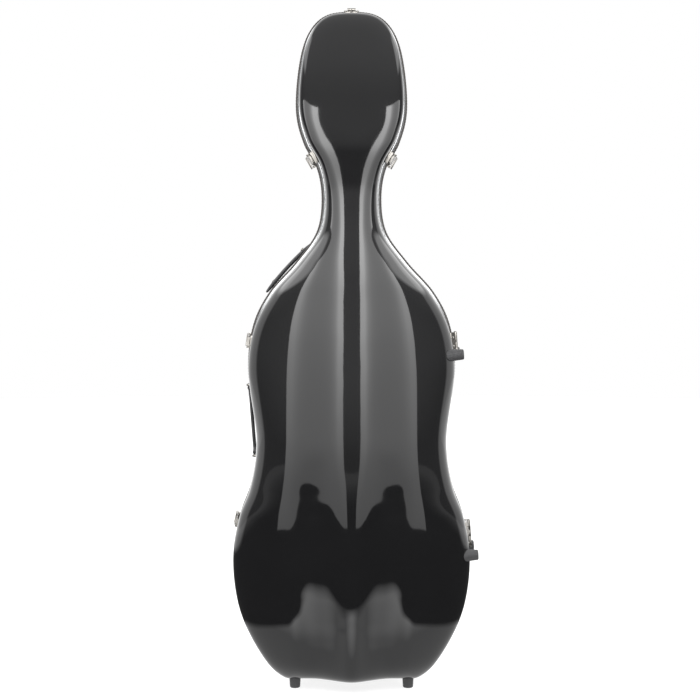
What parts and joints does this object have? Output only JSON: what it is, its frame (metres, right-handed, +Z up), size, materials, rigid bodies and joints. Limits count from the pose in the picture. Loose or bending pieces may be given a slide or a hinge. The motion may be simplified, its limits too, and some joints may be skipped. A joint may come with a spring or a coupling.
{
  "type": "cello hard case",
  "caption": "Moulded hard case for a cello: hinged lid and back shell with edge bands, draw latches, handles, feet and padded inside.",
  "frame": {"origin": "on the floor, at the middle of the case's box", "axes": "+Z up the standing case, -Y out of the lid, +X towards the hinges"},
  "size_m": [0.4884, 0.2772, 1.3454],
  "materials": {
    "shell_gloss": "polished lacquer",
    "bead_metal": "bright anodised",
    "band_rubber": "satin ribbed",
    "seal_rubber": "matte",
    "foot_rubber": "matte",
    "grip_rubber": "matte grained",
    "lining_plush": "plush pile",
    "strap_webbing": "woven",
    "button_plastic": "satin",
    "nickel": "polished nickel"
  },
  "bodies": {
    "back_case": {"back_shell": "shell_gloss", "back_lining": "lining_plush", "back_edge_band": "band_rubber", "seam_seal": "seal_rubber", "latch_plate_top": "nickel", "latch_plate_neck_left": "nickel", "latch_plate_neck_right": "nickel", "latch_plate_upper_left": "nickel", "latch_plate_lower_left": "nickel", "hinge_back_leaf_lower": "nickel", "hinge_pin_lower": "nickel", "hinge_back_leaf_upper": "nickel", "hinge_pin_upper": "nickel", "back_bottom_foot_left": "foot_rubber", "back_bottom_foot_right": "foot_rubber", "back_side_foot_lower": "foot_rubber", "back_side_foot_upper": "foot_rubber", "shoulder_grip": "grip_rubber", "shoulder_grip_post_lower": "nickel", "shoulder_grip_post_upper": "nickel", "side_handle_bracket_upper": "nickel", "side_handle_bracket_lower": "nickel", "strap_ring_holder_left": "nickel", "strap_ring_holder_right": "nickel", "neck_cradle": "lining_plush", "neck_strap": "strap_webbing", "end_pin_block": "lining_plush", "back_pad_lower": "lining_plush", "back_pad_upper": "lining_plush"},
    "lid": {"lid_shell": "shell_gloss", "lid_lining": "lining_plush", "lid_edge_band": "bead_metal", "latch_strike_top": "nickel", "latch_strike_neck_left": "nickel", "latch_strike_neck_right": "nickel", "latch_strike_upper_left": "nickel", "latch_strike_lower_left": "nickel", "hinge_lid_leaf_lower": "nickel", "hinge_lid_leaf_upper": "nickel", "lid_bottom_foot_left": "foot_rubber", "lid_bottom_foot_right": "foot_rubber", "lid_side_foot_lower": "foot_rubber", "lid_side_foot_upper": "foot_rubber", "bow_frog_block": "lining_plush", "bow_tip_block": "lining_plush"},
    "latch_lever_top": {"latch_lever_top": "nickel"},
    "latch_claw_top": {"latch_claw_top": "nickel"},
    "latch_lever_neck_left": {"latch_lever_neck_left": "nickel"},
    "latch_claw_neck_left": {"latch_claw_neck_left": "nickel"},
    "latch_lever_neck_right": {"latch_lever_neck_right": "nickel"},
    "latch_claw_neck_right": {"latch_claw_neck_right": "nickel"},
    "latch_lever_upper_left": {"latch_lever_upper_left": "nickel"},
    "latch_claw_upper_left": {"latch_claw_upper_left": "nickel"},
    "latch_lever_lower_left": {"latch_lever_lower_left": "nickel"},
    "latch_claw_lower_left": {"latch_claw_lower_left": "nickel"},
    "side_handle": {"side_handle_grip": "grip_rubber"},
    "strap_ring_left": {"strap_ring_left": "nickel"},
    "strap_ring_right": {"strap_ring_right": "nickel"},
    "bow_turn_button_left": {"bow_turn_button_left": "button_plastic"},
    "bow_turn_button_right": {"bow_turn_button_right": "button_plastic"}
  },
  "joints": [
    {"name": "lid_hinge", "type": "hinge", "parent": "back_case", "child": "lid", "pos_m": [0.23001, 0.01175, 0.30282], "axis": [-0.0725, 0, 0.9974], "range_deg": [0, 120]},
    {"name": "lever_top", "type": "hinge", "parent": "back_case", "child": "latch_lever_top", "pos_m": [-0.00507, 0.03375, 1.337], "axis": [1, 0, -0.0003], "range_deg": [0, 95]},
    {"name": "claw_top", "type": "hinge", "parent": "latch_lever_top", "child": "latch_claw_top", "pos_m": [-0.00507, 0.04175, 1.336], "axis": [1, 0, -0.0003], "range_deg": [-95, 0]},
    {"name": "lever_neck_left", "type": "hinge", "parent": "back_case", "child": "latch_lever_neck_left", "pos_m": [-0.08467, 0.03375, 1.04407], "axis": [-0.511, 0, 0.8596], "range_deg": [0, 95]},
    {"name": "claw_neck_left", "type": "hinge", "parent": "latch_lever_neck_left", "child": "latch_claw_neck_left", "pos_m": [-0.08381, 0.04175, 1.04458], "axis": [-0.511, 0, 0.8596], "range_deg": [-95, 0]},
    {"name": "lever_neck_right", "type": "hinge", "parent": "back_case", "child": "latch_lever_neck_right", "pos_m": [0.07452, 0.03375, 1.04407], "axis": [-0.511, 0, -0.8596], "range_deg": [0, 95]},
    {"name": "claw_neck_right", "type": "hinge", "parent": "latch_lever_neck_right", "child": "latch_claw_neck_right", "pos_m": [0.07366, 0.04175, 1.04458], "axis": [-0.511, 0, -0.8596], "range_deg": [-95, 0]},
    {"name": "lever_upper_left", "type": "hinge", "parent": "back_case", "child": "latch_lever_upper_left", "pos_m": [-0.20948, 0.03375, 0.68612], "axis": [0.1449, 0, 0.9895], "range_deg": [0, 95]},
    {"name": "claw_upper_left", "type": "hinge", "parent": "latch_lever_upper_left", "child": "latch_claw_upper_left", "pos_m": [-0.20849, 0.04175, 0.68598], "axis": [0.1449, 0, 0.9895], "range_deg": [-95, 0]},
    {"name": "lever_lower_left", "type": "hinge", "parent": "back_case", "child": "latch_lever_lower_left", "pos_m": [-0.23324, 0.03375, 0.32617], "axis": [0.2163, 0, 0.9763], "range_deg": [0, 95]},
    {"name": "claw_lower_left", "type": "hinge", "parent": "latch_lever_lower_left", "child": "latch_claw_lower_left", "pos_m": [-0.23226, 0.04175, 0.32595], "axis": [0.2163, 0, 0.9763], "range_deg": [-95, 0]},
    {"name": "side_handle_swing", "type": "hinge", "parent": "back_case", "child": "side_handle", "pos_m": [-0.20617, 0.05175, 0.52482], "axis": [-0.0763, 0, 0.9971], "range_deg": [0, 100]},
    {"name": "strap_ring_left_swing", "type": "hinge", "parent": "back_case", "child": "strap_ring_left", "pos_m": [-0.18046, 0.06975, 0.06462], "axis": [0, 1, 0], "range_deg": [-40, 130]},
    {"name": "strap_ring_right_swing", "type": "hinge", "parent": "back_case", "child": "strap_ring_right", "pos_m": [0.17032, 0.06975, 0.06462], "axis": [0, -1, 0], "range_deg": [-40, 130]},
    {"name": "bow_button_left_turn", "type": "hinge", "parent": "lid", "child": "bow_turn_button_left", "pos_m": [-0.02407, -0.09311, 0.205], "axis": [0, 1, 0], "range_deg": [0, 90]},
    {"name": "bow_button_right_turn", "type": "hinge", "parent": "lid", "child": "bow_turn_button_right", "pos_m": [0.01393, -0.09311, 0.205], "axis": [0, 1, 0], "range_deg": [0, 90]}
  ],
  "couplings": [
    {"joint": "claw_top", "follows": "lever_top", "ratio": -1},
    {"joint": "claw_neck_left", "follows": "lever_neck_left", "ratio": -1},
    {"joint": "claw_neck_right", "follows": "lever_neck_right", "ratio": -1},
    {"joint": "claw_upper_left", "follows": "lever_upper_left", "ratio": -1},
    {"joint": "claw_lower_left", "follows": "lever_lower_left", "ratio": -1}
  ]
}
